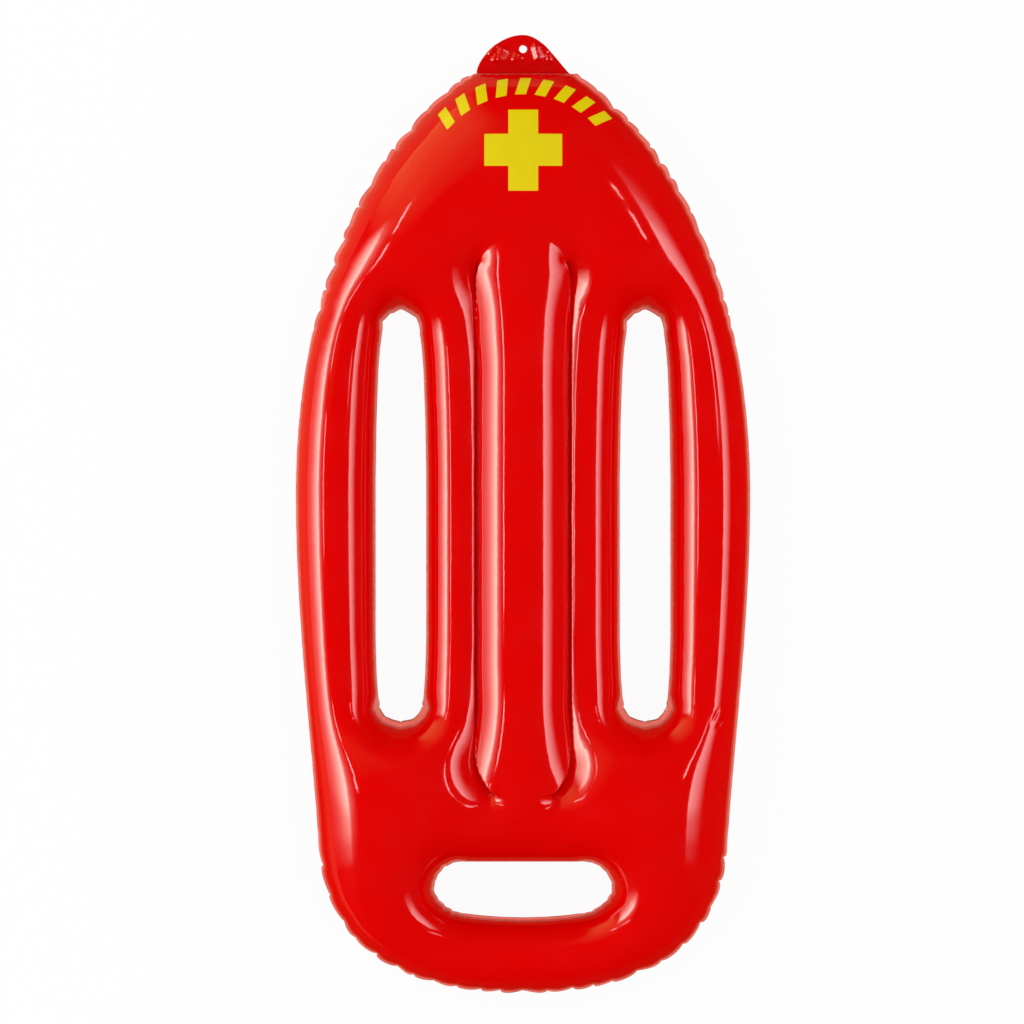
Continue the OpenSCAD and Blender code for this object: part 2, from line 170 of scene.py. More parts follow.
studio = dict(
    cameraAway=2400, pixelSize=0.7724, imageSize=1024, middlePixel=(523, 514), sensor=36, clipEnd=20,
    floorSize=14, floorDrop=0.5, floorStep=8, floorReach=(240, 432),  # step and reach of the floor's fine part
    floorGlow=0.94,  # how far the floor is pure white to the camera
    # the floor's painted glow in the film's reflections, and its painted red bounce light close to the board
    mirrorDark=0.04, mirrorLight=0.4,  # the floor in the film's reflections
    mirrorSide=(-1, 0.45, 0), mirrorFrom=0.14, mirrorTo=0.28,  # which way it gets lighter there, and where
    paintedRedBounce=0.8, besideFrom=0.012, besideTo=0.048,  # and close to the board
    room=0.4, walls=0.012,
    shineAway=3.5, fillAway=2.6,
)

weldZ = (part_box("outer_seam")[0].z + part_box("outer_seam")[1].z) / 2 / mm


# Plan curves

def nodeBox(node):
    low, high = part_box(node)
    return np.array(low) / mm, np.array(high) / mm


def bezier(points, count=arcPoints):
    t = np.linspace(0, 1, count, endpoint=False)[:, None]
    a, b, c, d = (np.array(p, float) for p in points)
    return a * (1 - t) ** 3 + 3 * b * t * (1 - t) ** 2 + 3 * c * t ** 2 * (1 - t) + d * t ** 3


def closed(loop):
    return np.vstack([loop, loop[:1]])


def lengthsAlong(line):
    return np.concatenate([[0], np.cumsum(np.linalg.norm(np.diff(line, axis=0), axis=1))])


def pointsAt(line, along, places):
    return np.column_stack([np.interp(places, along, line[:, k]) for k in (0, 1)])


def resampled(loop, step):
    along = lengthsAlong(closed(loop))
    count = max(8, round(along[-1] / step))
    return pointsAt(closed(loop), along, np.arange(count) * along[-1] / count)


def spacedLine(line, step):
    along = lengthsAlong(line)
    places = np.linspace(0, along[-1], max(2, round(along[-1] / step) + 1))
    return pointsAt(line, along, places), places


def turnedRight(tangent):
    tangent = tangent / np.linalg.norm(tangent, axis=1)[:, None]
    return np.column_stack([tangent[:, 1], -tangent[:, 0]])


def normalsOf(loop):
    return turnedRight(np.roll(loop, -1, axis=0) - np.roll(loop, 1, axis=0))


def smoothStep(t):
    t = np.clip(t, 0, 1)
    return t * t * (3 - 2 * t)


def cutOutline():
    low, high = nodeBox("outer_seam")
    widest = np.array([high[0], outline["widestY"]])
    corner = np.array([high[0] - outline["tailInset"], low[1] + outline["tailCorner"]])
    shoulder = np.array([outline["headWidth"] / 2, high[1]])
    angle = math.radians(outline["shoulderAngle"])
    fall = outline["shoulderReach"] * np.array([math.cos(angle), -math.sin(angle)])
    lean, count = outline["cornerLean"], outline["curvePoints"]
    right = np.vstack([
        bezier([(0, low[1]), (corner[0] - outline["cornerRound"], low[1]),
                corner - (lean, outline["cornerReach"]), corner], count),
        bezier([corner, corner + (lean, outline["tailReach"]),
                widest - (0, outline["sideReach"]), widest], count),
        bezier([widest, widest + (0, outline["headReach"]), shoulder + fall, shoulder], count),
        [shoulder],
    ])
    left = right[:0:-1] * (-1, 1)
    return resampled(np.vstack([right, left]), outline["step"])


def stadium(a, b, radius):
    a, b = np.array(a, float), np.array(b, float)
    start = math.atan2(*(b - a)[::-1])
    ends = []
    for middle, turn in ((b, start - math.pi / 2), (a, start + math.pi / 2)):
        angles = turn + np.linspace(0, math.pi, arcPoints)
        ends.append(middle + radius * np.column_stack([np.cos(angles), np.sin(angles)]))
    return resampled(np.vstack(ends), outline["step"])


def circle(middle, radius):
    nudge = np.array([0, 1e-3])
    return stadium(middle - nudge, middle + nudge, radius)


# A slot's cut edge: drawn in towards both ends, with a low gable at the head and a rounder end at the tail.
# Each point becomes the mean of its neighbours, so that no corner is sharp.
def slotLoop(x, tailTip, headTip):
    y = np.linspace(tailTip, headTip, slotSeam["sidePoints"])
    wide = np.minimum(np.interp(y - tailTip, *zip(*slotSeam["tailShape"])),
                      np.interp(headTip - y, *zip(*slotSeam["headShape"])))
    right = np.column_stack([x + wide, y])
    left = np.column_stack([x - wide, y])[-2:0:-1]
    loop = resampled(np.vstack([right, left]), outline["step"])
    return sum(np.roll(loop, k, axis=0) for k in (-2, -1, 0, 1, 2)) / 5


# Gathers along a loop: pinch is deepest at the notches between them, and wave swings the edge up and down
def gathers(loop, weight, seam):
    rng = random.Random(seam["seed"])
    along = lengthsAlong(closed(loop))
    places = along[:-1]
    total, at, sign, depth = along[-1], 0.0, 1, gather["firstDepth"]
    pinch, wave = np.zeros(len(loop)), np.zeros(len(loop))
    while at < total:
        here = loop[min(np.searchsorted(along, at), len(loop) - 1)]
        pitches = seam["tailPitch"] if here[1] < gather["tailY"] else seam["pitch"]
        pitch = rng.uniform(*pitches)
        if total - at - pitch < pitches[0]:
            pitch = total - at
        held = (places >= at) & (places < at + pitch)
        share = (places[held] - at) / pitch
        nextDepth, lean = rng.uniform(*gather["depths"]), rng.choice(gather["leans"])
        bulge = np.sin(math.pi * share ** lean) ** gather["fullness"]
        pinch[held] = (depth + (nextDepth - depth) * share) * (1 - bulge)
        wave[held] = nextDepth * sign * np.sin(math.pi * share)
        sign, at, depth = -sign, at + pitch, nextDepth
    return pinch * weight, wave * weight


# A welded seam: its cut edge, the line where the film lifts off it, and how its edge waves
def seamCurves(cut, weight, seam, side, shown):
    normal = normalsOf(cut)
    pinch, wave = gathers(cut, weight, seam)
    edge = cut - side * normal * (seam["cutPinch"] * pinch)[:, None]
    weld = cut - side * normal * (shown + seam["weldPinch"] * pinch)[:, None]
    return dict(edge=edge, weld=weld, wave=wave * seam["wave"], side=side)


def outerCurves():
    seam, cut = outerSeam, cutOutline()
    tabLow, tabHigh = nodeBox("hang_tab")
    beside = smoothStep((np.abs(cut[:, 0]) - tabHigh[0] - seam["tabGap"]) / seam["tabFade"])
    offTab = np.where(cut[:, 1] > tabLow[1] - seam["tabRoot"], beside, 1)
    head = smoothStep((cut[:, 1] - seam["headFrom"]) / seam["headFade"]) * offTab
    tail = smoothStep((seam["tailFrom"] - cut[:, 1]) / seam["tailFade"])
    weight = np.maximum(np.maximum(head, tail), seam["sideGather"] * offTab)
    shown = (seam["sideShown"] + (seam["headShown"] - seam["sideShown"]) * head
             + (seam["tailShown"] - seam["sideShown"]) * tail)
    return seamCurves(cut, weight, seam, 1, shown * (seam["tabShown"] + (1 - seam["tabShown"]) * offTab))


def slotCurves(node):
    seam = slotSeam
    low, high = nodeBox(node)
    radius = (high[0] - low[0]) / 2
    reach = radius * math.sin(math.radians(seam["tipAngle"]))
    x, y0, y1 = (low[0] + high[0]) / 2, low[1] + reach, high[1] - reach
    cut, middle = slotLoop(x, y0 - radius + seam["width"], y1 + radius - seam["width"]), (y0 + y1) / 2
    pastEnd = np.abs(cut[:, 1] - middle) - (y1 - y0) / 2
    ends = smoothStep((pastEnd + seam["endFrom"]) / seam["endFade"])
    endShown = np.where(cut[:, 1] > middle, seam["headShown"], seam["tailShown"])
    shown = seam["sideShown"] + (endShown - seam["sideShown"]) * ends
    return seamCurves(cut, np.maximum(ends, seam["sideGather"]), seam, -1, shown)


def handleCurves():
    seam = handleSeam
    low, high = nodeBox("handle_seam")
    radius = (high[1] - low[1]) / 2
    x, y = high[0] - radius, (low[1] + high[1]) / 2
    cut = stadium((-x, y), (x, y), radius - seam["width"])
    foot = smoothStep((y - cut[:, 1]) / seam["footFade"])
    cut[:, 1] += seam["footRise"] * foot * np.minimum(1, np.abs(cut[:, 0]) / (x + seam["riseReach"])) ** 2
    ends = smoothStep((np.abs(cut[:, 0]) - x + seam["endFrom"]) / seam["endFade"])
    shown = seam["topShown"] + (seam["footShown"] - seam["topShown"]) * foot
    shown = shown + (seam["endShown"] - shown) * ends
    return seamCurves(cut, np.maximum(ends, seam["sideGather"]), seam, -1, shown)


def ribArcs(node):
    low, high = nodeBox(node)
    radius = max(abs(low[0]), abs(high[0])) - ribWeld["width"] / 2
    tailY = low[1] + radius * math.sin(math.radians(ribWeld["tailHook"]))
    headY = high[1] - radius * math.sin(math.radians(ribWeld["headHook"]))
    return radius, tailY, headY, (1 if high[0] > 0 else -1)


def arc(radius, middleY, sign, start, end, count):
    turns = np.radians(np.linspace(start, end, count))
    return np.column_stack([radius * np.cos(turns), middleY + sign * radius * np.sin(turns)])


def ribPath(node, tailHook, headHook):
    radius, tailY, headY, side = ribArcs(node)
    tailArc = arc(radius, tailY, -1, tailHook, 0, ribWeld["hookPoints"])
    headArc = arc(radius, headY, 1, 0, headHook, ribWeld["hookPoints"])
    return np.vstack([tailArc, headArc]) * (side, 1)


def creaseHeight(y):
    return np.interp(y, *zip(*crease["heights"]))


# The crease over a rib weld, as lines with their heights: two lips, the beaded edges of a slit between them,
# and the slit's foot on the weld. It is a little wavy, and runs out at both ends.
def creaseLines(node, seed):
    path = ribPath(node, crease["tailFirm"], crease["headFirm"])
    line, places = spacedLine(path, crease["beadPitch"] / crease["beadPoints"])
    aside = turnedRight(np.gradient(line, axis=0))
    sway = np.array([noise.noise((s / crease["wobblePitch"], seed, 0)) for s in places])
    line = line + aside * (crease["wobble"] * sway)[:, None]
    deep = smoothStep(np.minimum(places, places[-1] - places) / crease["runOut"])
    lip = creaseHeight(line[:, 1])
    beads = crease["bead"] * np.sin(2 * math.pi * places / crease["beadPitch"])
    drop = np.interp(line[:, 1], *zip(*crease["columnDrop"]))
    found = [(line, (lip - drop / 2) * (1 - deep))]
    spread = crease["endLip"] + (1 - crease["endLip"]) * deep
    lipAside = aside * (crease["slit"] + (crease["lip"] - crease["slit"]) * spread)[:, None]
    for side in (-1, 1):
        onColumn = side * line[len(line) // 2, 0] < 0
        edge = lip - drop if onColumn else lip
        found.append((line + side * crease["slit"] * aside, edge + deep * (beads - crease["grooveDeep"])))
        found.append((line + side * lipAside, edge))
    return found


# Round the column's ends the crease softens and climbs to a shallow valley
def columnEnds():
    radius, tailY, headY, _ = ribArcs("right_rib_weld")
    return (
        (tailY, -1, radius, crease["tailFirm"], crease["tailTop"]),
        (headY, 1, radius, crease["headFirm"], crease["headTop"]),
    )


def endArc(middleY, sign, radius, firm):
    start = firm + crease["arcGap"]
    return arc(radius, middleY, sign, start, 180 - start, arcPoints)


def pressureFor(height):
    return (height / film["puff"]) ** 2 / 2


def endPull(points):
    pull, load = np.zeros(len(points)), np.zeros(len(points))
    low = creaseHeight(points[:, 1])
    for middleY, sign, radius, firm, top in columnEnds():
        rise = sign * (points[:, 1] - middleY)
        turn = np.degrees(np.arctan2(rise, np.abs(points[:, 0])))
        share = np.clip((turn - firm) / (90 - firm), 0, 1)
        gap = np.hypot(points[:, 0], np.maximum(rise, 0)) - radius
        wide = crease["endWidth"] + crease["width"] * smoothStep(1 + rise / crease["reach"])
        near = np.exp(-(gap / wide) ** 2) * (gap > 0) * (rise > -crease["reach"])
        strength = near * crease["hold"] ** (1 - share) * crease["soft"] ** share
        pull += strength
        load += strength * pressureFor(low + (top - low) * smoothStep(share))
    return pull, load


# Prints: a plain cross, and a row of slanted bars on an arch over it

def crossLoop():
    a, b, c, d = (printMarks[key] / 2 for key in ("crossWide", "crossHigh", "crossBarWide", "crossBarHigh"))
    quarter = [(a, -d), (a, d), (c, d), (c, b)]
    upper = quarter + [(-x, y) for x, y in quarter[::-1]]
    points = upper + [(-x, -y) for x, y in upper[2:6]]
    return np.array(points) + (0, printMarks["crossY"])


def barLoop(k):
    p = printMarks
    middle = math.radians(p["archFrom"] + (p["archTo"] - p["archFrom"]) * k / (p["bars"] - 1))
    lean = math.tan(math.radians(p["barLean"])) * p["barHigh"] / 2
    across = np.array([math.sin(middle), -math.cos(middle)])
    up = np.array([math.cos(middle), math.sin(middle)])
    centre = np.array([0, p["archY"]]) + up * p["archRadius"]
    w, h = p["barWide"] / 2, p["barHigh"] / 2
    corners = [(-w - lean, -h), (w - lean, -h), (w + lean, h), (-w + lean, h)]
    return np.array([centre + across * u + up * v for u, v in corners])


def insideLoop(points, loop):
    inside = np.zeros(len(points), bool)
    for (x0, y0), (x1, y1) in zip(loop, np.roll(loop, -1, axis=0)):
        if y0 == y1:
            continue
        crosses = (points[:, 1] > min(y0, y1)) & (points[:, 1] <= max(y0, y1))
        inside ^= crosses & (points[:, 0] < x0 + (points[:, 1] - y0) * (x1 - x0) / (y1 - y0))
    return inside


# Triangles

def treeOf(points):
    tree = kdtree.KDTree(len(points))
    for k, p in enumerate(points):
        tree.insert((p[0], p[1], 0), k)
    tree.balance()
    return tree


def awayFrom(tree, point):
    return tree.find((point[0], point[1], 0))[2]


def edged(mark):
    if len(mark) >= meshing["roundMark"]:
        return mark
    points = []
    for a, b in zip(mark, np.roll(mark, -1, axis=0)):
        count = max(1, round(np.linalg.norm(b - a) / printMarks["edgeStep"]))
        points += [a + (b - a) * k / count for k in range(count)]
    return np.array(points)


# A flat plan as triangles, fine beside the welds and creases and along the prints' edges
def triangulated(outer, holes, step, marks=(), lines=(), layers=(), layerStep=(), patch=()):
    loops = [outer] + list(holes)
    marks = [edged(m) for m in marks]
    welds = treeOf(np.vstack(loops + list(lines)))
    free = []
    for distance, spacing in zip(layers, layerStep):
        clear = meshing["layerClear"] * distance
        for k, loop in enumerate(loops):
            ring = resampled(loop, spacing)
            ring = ring + normalsOf(ring) * (-distance if k == 0 else distance)
            free += [p for p in ring if awayFrom(welds, p) > clear]
        for line in lines:
            path = spacedLine(line, spacing)[0]
            aside = turnedRight(np.gradient(path, axis=0)) * distance
            free += [p for p in np.vstack([path + aside, path - aside]) if awayFrom(welds, p) > clear]
    low, high = outer.min(axis=0), outer.max(axis=0)
    clear = (layers[-1] if layers else 0) + meshing["gridClear"] * step
    for j, y in enumerate(np.arange(low[1], high[1], step * meshing["rowHeight"])):
        for x in np.arange(low[0] + (j % 2) * step / 2, high[0], step):
            if awayFrom(welds, (x, y)) > clear:
                free.append((x, y))
    free = np.array(free + list(patch))
    free = free[insideLoop(free, outer)]
    for hole in holes:
        free = free[~insideLoop(free, hole)]
    if marks:
        inked = treeOf(np.vstack(marks))
        clear = meshing["markClear"] * printMarks["edgeStep"]
        free = np.array([p for p in free if awayFrom(inked, p) > clear])
    points, edges = [], []
    for path, isLoop in [(loop, 1) for loop in loops + marks] + [(line, 0) for line in lines]:
        first, count = len(points), len(path)
        points += [Vector(p) for p in path]
        edges += [(first + k, first + (k + 1) % count) for k in range(count - 1 + isLoop)]
    points += [Vector(p) for p in free]
    found = delaunay_2d_cdt(points, edges, [], 0, meshing["same"])
    vertices = np.array([tuple(p) for p in found[0]])
    faces = np.array([f for f in found[2] if len(f) == 3])
    middles = vertices[faces].mean(axis=1)
    keep = insideLoop(middles, outer)
    for hole in holes:
        keep &= ~insideLoop(middles, hole)
    faces = faces[keep]
    used = np.unique(faces)
    index = np.full(len(vertices), -1)
    index[used] = np.arange(len(used))
    vertices, faces = vertices[used], index[faces]
    a, b, c = (vertices[faces[:, k]] for k in range(3))
    up = np.cross(b - a, c - a) > 0
    faces[~up] = faces[~up][:, ::-1]
    return vertices, faces


def boundaryVertices(faces):
    sides = np.sort(np.vstack([faces[:, [0, 1]], faces[:, [1, 2]], faces[:, [2, 0]]]), axis=1)
    pairs, counts = np.unique(sides, axis=0, return_counts=True)
    return np.unique(pairs[counts == 1])


# Height of an air-filled film over its plan: a membrane held at the welds, whose load eases off far from them.
# The square root turns the membrane's parabola across a straight tube into the round section of the real one.
# held gives the pressure value where the film is tied down, pull and load draw it softly towards a value.
def inflated(points, faces, held, pull, load):
    a, b, c = (points[faces[:, k]] for k in range(3))
    area = np.abs(np.cross(b - a, c - a)) / 2
    count = len(points)
    rows, columns, weights = [], [], []
    for i, j, o in ((0, 1, 2), (1, 2, 0), (2, 0, 1)):
        u = points[faces[:, i]] - points[faces[:, o]]
        v = points[faces[:, j]] - points[faces[:, o]]
        rows.append(faces[:, i])
        columns.append(faces[:, j])
        weights.append((u * v).sum(axis=1) / (4 * area))
    rows, columns, weights = (np.concatenate(part) for part in (rows, columns, weights))
    mass = np.bincount(faces.ravel(), np.repeat(area / 3, 3), count)
    diagonal = np.bincount(rows, weights, count) + np.bincount(columns, weights, count)
    diagonal += mass * (1 / film["reach"] ** 2 + pull)
    free = np.isnan(held)

    def times(x):
        pulled = np.bincount(rows, weights * x[columns], count)
        pulled += np.bincount(columns, weights * x[rows], count)
        return np.where(free, diagonal * x - pulled, 0)

    u = np.where(free, 0, held)
    rest = np.where(free, mass * (1 + load), 0) - times(u)
    scaled = rest / diagonal
    step, energy = scaled.copy(), (rest * scaled).sum()
    for _ in range(film["solveSteps"]):
        turned = times(step)
        length = energy / (step * turned).sum()
        u += length * step
        rest -= length * turned
        scaled = rest / diagonal
        newEnergy = (rest * scaled).sum()
        if newEnergy < film["solveEnd"] * mass.sum():
            break
        step = scaled + step * newEnergy / energy
        energy = newEnergy
    return film["puff"] * np.sqrt(2 * np.maximum(u, 0))


# Places of points along and beside a direction in degrees through a middle
def alongAside(points, middle, turn):
    angle = math.radians(turn)
    offset = points - middle
    return offset @ (math.cos(angle), math.sin(angle)), offset @ (-math.sin(angle), math.cos(angle))


def dentPoints():
    found = []
    past = dents["reach"] + 0.01
    for x, y, turn, length, width, _ in dents["places"]:
        angle = math.radians(turn)
        for u in np.arange(-dents["reach"], past, dents["alongStep"]) * length:
            for v in np.arange(-dents["reach"], past, dents["asideStep"]) * width:
                found.append((x + u * math.cos(angle) - v * math.sin(angle),
                              y + u * math.sin(angle) + v * math.cos(angle)))
    return found


def dented(points, heights):
    heights = heights.copy()
    for x, y, turn, length, width, depth in dents["places"]:
        along, aside = alongAside(points, (x, y), turn)
        heights -= depth * np.exp(-(along / length) ** 2 - (aside / width) ** 2)
    return heights


# Meshes and objects

def pieceName(node):
    first, *others = node.split("_")
    return first + "".join(word.title() for word in others)


def placed(name, data):
    made = bpy.data.objects.new(name, data)
    scene.collection.objects.link(made)
    return made


def modifiedMesh(made):
    return bpy.data.meshes.new_from_object(made.evaluated_get(bpy.context.evaluated_depsgraph_get()))


def meshObject(name, vertices, faces, materials, slots=None):
    mesh = bpy.data.meshes.new(name)
    corners = [tuple(v) for v in np.asarray(vertices) * mm]
    mesh.from_pydata(corners, [], [tuple(int(k) for k in f) for f in faces])
    for material in materials:
        mesh.materials.append(material)
    if slots is not None:
        mesh.polygons.foreach_set("material_index", np.asarray(slots, dtype=np.int32))
    mesh.polygons.foreach_set("use_smooth", np.ones(len(mesh.polygons), dtype=bool))
    mesh.update()
    return placed(name, mesh)


# Faces of a closed band of rings, each with the same number of points
def bandQuads(rings, count):
    quads = []
    for k in range(rings):
        here, following = k * count, (k + 1) % rings * count
        for j in range(count):
            after = (j + 1) % count
            quads.append((here + j, here + after, following + after, following + j))
    return quads


def thickened(made, thickness, offset=-1):
    wall = made.modifiers.new("wall", "SOLIDIFY")
    wall.thickness = thickness * mm
    wall.offset = offset
    wall.use_rim = True
    mesh = modifiedMesh(made)
    made.modifiers.clear()
    made.data = mesh


def finished(made, node):
    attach(made, "envelope")
    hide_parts(node)


# Materials

def linear(code):
    parts = [int(code[k:k + 2], 16) / 255 for k in (1, 3, 5)]
    return [p / 12.92 if p <= 0.04045 else ((p + 0.055) / 1.055) ** 2.4 for p in parts] + [1]


def addNode(tree, kind, links=(), values=(), **settings):
    made = tree.nodes.new(kind)
    for key, value in settings.items():
        setattr(made, key, value)
    for socket, value in dict(values).items():
        made.inputs[socket].default_value = value
    for socket, source in dict(links).items():
        tree.links.new(source, made.inputs[socket])
    return made


# A material with plain values and, if two codes are given, their tones in soft clouds of a size
def newMaterial(name, values, size=0, codes=()):
    material = bpy.data.materials.new(name)
    material.use_nodes = True
    tree = material.node_tree
    shader = tree.nodes["Principled BSDF"]
    for socket, value in values.items():
        shader.inputs[socket].default_value = value
    place = addNode(tree, "ShaderNodeTexCoord").outputs["Object"]
    if codes:
        cloud = addNode(tree, "ShaderNodeTexNoise", {"Vector": place}, {"Scale": 1 / (size * mm), "Detail": 3})
        tone = addNode(tree, "ShaderNodeMix", {"Factor": cloud.outputs["Fac"]},
                       {"A": linear(codes[0]), "B": linear(codes[1])}, data_type="RGBA")
        tree.links.new(tone.outputs["Result"], shader.inputs["Base Color"])
    return material, tree, shader, place


# Calendered PVC film, blown tight: deep even red with a wet gloss, slightly uneven where hands have been
def glossyFilm(name, deepCode, code):
    material, tree, shader, place = newMaterial(name, {"IOR": pvcIor}, 90, (deepCode, code))
    smearSize, peelSize = 28, 6
    smear = addNode(tree, "ShaderNodeTexNoise", {"Vector": place},
                    {"Scale": 1 / (smearSize * mm), "Detail": 5})
    rough = addNode(tree, "ShaderNodeMapRange", {"Value": smear.outputs["Fac"]},
                    {"From Min": 0.35, "From Max": 0.75, "To Min": 0.05, "To Max": 0.1})
    tree.links.new(rough.outputs["Result"], shader.inputs["Roughness"])
    peel = addNode(tree, "ShaderNodeTexNoise", {"Vector": place}, {"Scale": 1 / (peelSize * mm), "Detail": 1})
    bump = addNode(tree, "ShaderNodeBump", {"Height": peel.outputs["Fac"]},
                   {"Strength": 0.03, "Distance": 1 * mm})
    tree.links.new(bump.outputs["Normal"], shader.inputs["Normal"])
    return material


# Two films fused by the welding tool: thin and a little see-through, with its tint given at each use
def fusedFilm(name, code, paleCode):
    values = {"Roughness": 0.2, "IOR": pvcIor, "Transmission Weight": 0.75}
    return newMaterial(name, values, 12, (code, paleCode))[0]


# Screen ink on the film: flat yellow that takes the film's gloss, a touch duller
def screenInk(name, thinCode, code):
    return newMaterial(name, {"Roughness": 0.16, "IOR": 1.5}, 14, (thinCode, code))[0]


# Moulded soft PVC without pigment: milky clear, with the dull gloss of a mould
def clearMoulding(name, code):
    values = {"Base Color": linear(code), "IOR": pvcIor, "Transmission Weight": 0.55}
    material, tree, shader, place = newMaterial(name, values)
    grain = 4
    cloud = addNode(tree, "ShaderNodeTexNoise", {"Vector": place}, {"Scale": 1 / (grain * mm), "Detail": 2})
    rough = addNode(tree, "ShaderNodeMapRange", {"Value": cloud.outputs["Fac"]},
                    {"To Min": 0.2, "To Max": 0.36})
    tree.links.new(rough.outputs["Result"], shader.inputs["Roughness"])
    return material


redFilm = glossyFilm("glossyRedPvcFilm", "#DA0000", "#E20000")
# The seam rims are truly see-through, but their pale pink tint is painted light: it is lifted so that they glow
# paler than the film
paintedGlowRedWeld = fusedFilm("fusedRedPvcWeldPaintedGlow", "#FF7464", "#FF9484")
ribRed = fusedFilm("fusedRedPvcRib", "#C81410", "#DC2A24")
tabFilm = glossyFilm("flatRedPvcTab", "#D00000", "#DC0202")
yellowInk = screenInk("yellowScreenInk", "#E0C800", "#E8D000")
clearPvc = clearMoulding("clearSoftPvc", "#F1ECE4")
print("materials made")


# Camera: straight above the board, as the photograph sees it

imageSize, pixelSize, cameraAway = studio["imageSize"], studio["pixelSize"], studio["cameraAway"]
lens = bpy.data.cameras.new("camera")
lens.sensor_width = studio["sensor"]
lens.lens = studio["sensor"] * cameraAway / (imageSize * pixelSize)
lens.clip_end = studio["clipEnd"]
camera = placed("camera", lens)
acrossImage, downImage = studio["middlePixel"]
camera.location = Vector(((imageSize / 2 - acrossImage) * pixelSize, (downImage - imageSize / 2) * pixelSize,
                          weldZ + cameraAway)) * mm
scene.camera = camera


# Films

plan = {"outer_seam": outerCurves(), "left_slot_seam": slotCurves("left_slot_seam"),
        "right_slot_seam": slotCurves("right_slot_seam"), "handle_seam": handleCurves()}
valveLow, valveHigh = nodeBox("valve_well")
valveMiddle = (valveLow + valveHigh)[:2] / 2
valveRadius = (valveHigh[0] - valveLow[0]) / 2
valveHole = circle(valveMiddle, valveRadius)
marks = [crossLoop()] + [barLoop(k) for k in range(printMarks["bars"])]
outerLoop, *holeLoops = [resampled(curves["weld"], film["weldStep"]) for curves in plan.values()]
creases = creaseLines("left_rib_weld", 0) + creaseLines("right_rib_weld", 1)
lines = [line for line, _ in creases] + [endArc(*end[:4]) for end in columnEnds()]
points, faces = triangulated(outerLoop, holeLoops, film["grid"], marks + [valveHole], lines,
                             film["layers"], film["layerStep"], dentPoints())
print("film plan:", len(points), "points,", len(faces), "triangles")
held = np.full(len(points), np.nan)
held[boundaryVertices(faces)] = 0
pointTree = treeOf(points)
for line, lineHeights in creases:
    for p, height in zip(line, lineHeights):
        held[pointTree.find((p[0], p[1], 0))[1]] = pressureFor(height)
heights = inflated(points, faces, held, *endPull(points))
print("film height: highest", round(heights.max(), 1), "mm")

middles = points[faces].mean(axis=1)
inked = np.zeros(len(faces), bool)
for mark in marks:
    inked |= insideLoop(middles, mark)
upper = weldZ + film["thickness"] + dented(points, heights)
frontFilm = meshObject("frontFilm", np.column_stack([points, upper]), faces, [redFilm, yellowInk], inked)

# The back is pressed flat where it lies, and open where the valve passes
lower = weldZ - film["thickness"] - heights
lower = (lower + np.sqrt(lower ** 2 + film["restRound"] ** 2)) / 2
backFaces = faces[~insideLoop(middles, valveHole)][:, ::-1]
backFilm = meshObject("backFilm", np.column_stack([points, lower]), backFaces, [redFilm])
for made, node in ((frontFilm, "front_film"), (backFilm, "back_film")):
    thickened(made, film["thickness"])
    finished(made, node)
print("films made")


# Seams: a thin rim from the weld line to the cut edge, which waves where the film is gathered

def rimObject(name, curves):
    weld, edge, wave = curves["weld"], curves["edge"], curves["wave"]
    rings = []
    for level in (1, -1):
        for t in seamRim["across"][::level]:
            out = max(0, t)
            half = film["thickness"] * (1 - seamRim["thinner"] * out)
            z = weldZ + wave * out ** seamRim["curl"] + level * half
            rings.append(np.column_stack([weld + (edge - weld) * t, z]))
    vertices = np.stack(rings, axis=1).reshape(-1, 3)
    quads = [quad[::curves["side"]] for quad in bandQuads(len(weld), len(rings))]
    return meshObject(name, vertices, quads, [paintedGlowRedWeld])


for node, curves in plan.items():
    finished(rimObject(pieceName(node), curves), node)
print("seams made")


# Weld strips: a flat strip along a path, with the short bars that the welding tool prints on it

def weldTree():
    tree = bpy.data.node_groups.new("weldStripTree", "GeometryNodeTree")
    for name, kind in (("Geometry", "Geometry"), ("Strip Width", "Float"), ("Strip Height", "Float"),
                       ("Bar Pitch", "Float"), ("Bar Size", "Vector"), ("Finish", "Material")):
        tree.interface.new_socket(name, in_out="INPUT", socket_type="NodeSocket" + kind)
    tree.interface.new_socket("Geometry", in_out="OUTPUT", socket_type="NodeSocketGeometry")
    given = addNode(tree, "NodeGroupInput").outputs
    profile = addNode(tree, "GeometryNodeCurvePrimitiveQuadrilateral",
                      {"Width": given["Strip Width"], "Height": given["Strip Height"]})
    strip = addNode(tree, "GeometryNodeCurveToMesh",
                    {"Curve": given["Geometry"], "Profile Curve": profile.outputs["Curve"]},
                    {"Fill Caps": True})
    spaced = addNode(tree, "GeometryNodeResampleCurve",
                     {"Curve": given["Geometry"], "Length": given["Bar Pitch"]}, mode="LENGTH")
    along = addNode(tree, "GeometryNodeInputTangent")
    turned = addNode(tree, "FunctionNodeAlignRotationToVector", {"Vector": along.outputs["Tangent"]},
                     axis="Y", pivot_axis="Z")
    bar = addNode(tree, "GeometryNodeMeshCube", {"Size": given["Bar Size"]})
    bars = addNode(tree, "GeometryNodeInstanceOnPoints",
                   {"Points": spaced.outputs["Curve"], "Instance": bar.outputs["Mesh"],
                    "Rotation": turned.outputs["Rotation"]})
    real = addNode(tree, "GeometryNodeRealizeInstances", {"Geometry": bars.outputs["Instances"]})
    joined = addNode(tree, "GeometryNodeJoinGeometry")
    for source in (strip.outputs["Mesh"], real.outputs["Geometry"]):
        tree.links.new(source, joined.inputs["Geometry"])
    painted = addNode(tree, "GeometryNodeSetMaterial",
                      {"Geometry": joined.outputs["Geometry"], "Material": given["Finish"]})
    addNode(tree, "NodeGroupOutput", {"Geometry": painted.outputs["Geometry"]})
    return tree


weldStripTree = weldTree()
weldSockets = {s.name: s.identifier for s in weldStripTree.interface.items_tree if s.in_out == "INPUT"}


